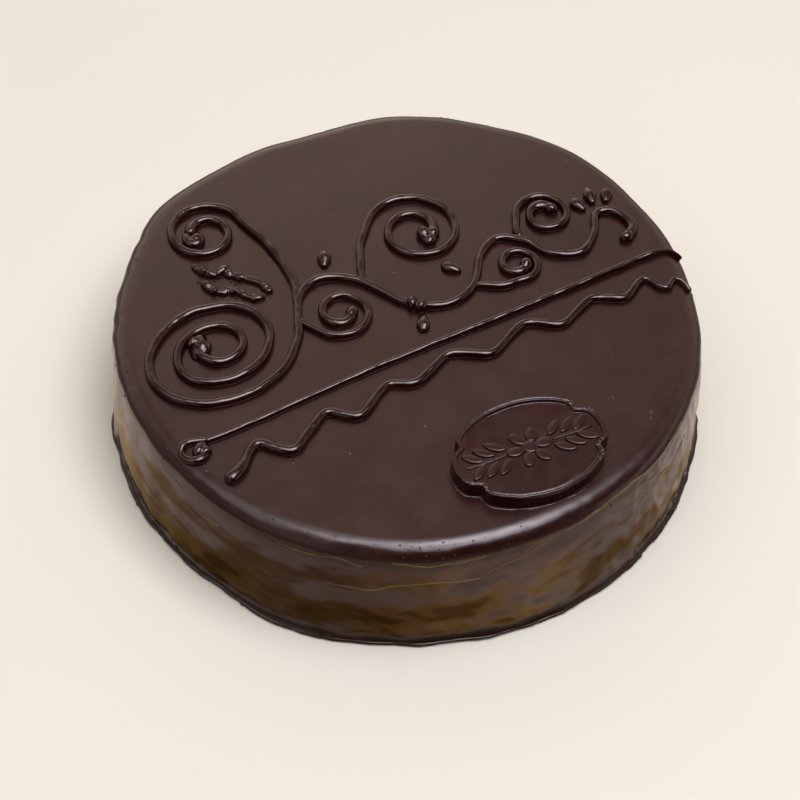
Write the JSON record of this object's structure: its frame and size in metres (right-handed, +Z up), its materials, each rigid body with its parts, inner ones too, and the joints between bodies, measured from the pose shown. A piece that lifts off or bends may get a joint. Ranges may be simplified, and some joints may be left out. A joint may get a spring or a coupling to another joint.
{
  "type": "sachertorte cake",
  "caption": "Round chocolate-glazed cake with a flat top, rounded shoulder, piped scrollwork, a ruled line, a waved line and a moulded oval chocolate plaque.",
  "frame": {"origin": "middle of the flat base, on the surface that the cake stands on", "axes": "+Z up through the cake's middle, +X to the right, +Y to the back; the plaque lies towards -Y"},
  "size_m": [0.2188, 0.2206, 0.0569],
  "materials": {
    "chocolate_glaze": "satin-gloss dark chocolate glaze",
    "piped_chocolate": "satin dark chocolate piping",
    "moulded_chocolate": "satin moulded dark chocolate"
  },
  "bodies": {
    "root": {"glazed_cake": "chocolate_glaze", "piped_rule": "piped_chocolate", "piped_wave": "piped_chocolate", "piped_vine": "piped_chocolate", "piped_scroll_upper": "piped_chocolate", "piped_scroll_lower": "piped_chocolate", "piped_scroll_middle": "piped_chocolate", "piped_scroll_top": "piped_chocolate", "piped_scroll_right": "piped_chocolate", "piped_ruffle_back": "piped_chocolate", "piped_ruffle_front": "piped_chocolate", "piped_leaf_1": "piped_chocolate", "piped_leaf_2": "piped_chocolate", "piped_leaf_3": "piped_chocolate", "piped_leaf_4": "piped_chocolate", "piped_leaf_5": "piped_chocolate", "piped_leaf_6": "piped_chocolate", "moulded_plaque": "moulded_chocolate"}
  },
  "joints": []
}
